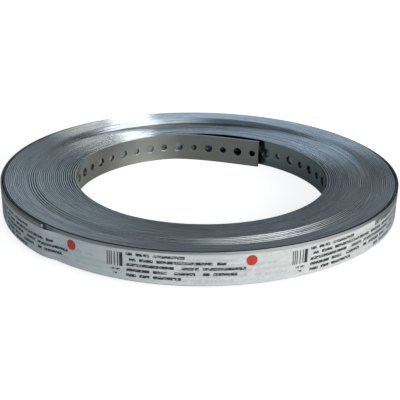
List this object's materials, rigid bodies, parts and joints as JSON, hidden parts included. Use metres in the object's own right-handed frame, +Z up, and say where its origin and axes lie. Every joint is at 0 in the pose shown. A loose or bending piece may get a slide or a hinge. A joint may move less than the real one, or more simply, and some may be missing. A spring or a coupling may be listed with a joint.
{
  "type": "roll of perforated metal strap",
  "caption": "Flat coil of galvanised steel strap with a row of alternating large and small holes, held by a printed film tape round the outside.",
  "frame": {"origin": "centre of the bottom of the lying roll, on the coil's axis", "axes": "+Z up along the coil's axis; the strap's inner cut end lies at 55 degrees from +X towards +Y"},
  "size_m": [0.2608, 0.2608, 0.024],
  "materials": {
    "galvanised_steel": "galvanised, satin",
    "label_film": "thin printed film, semi-gloss"
  },
  "bodies": {
    "root": {"strap_roll": "galvanised_steel", "label_tape": "label_film"}
  },
  "joints": []
}
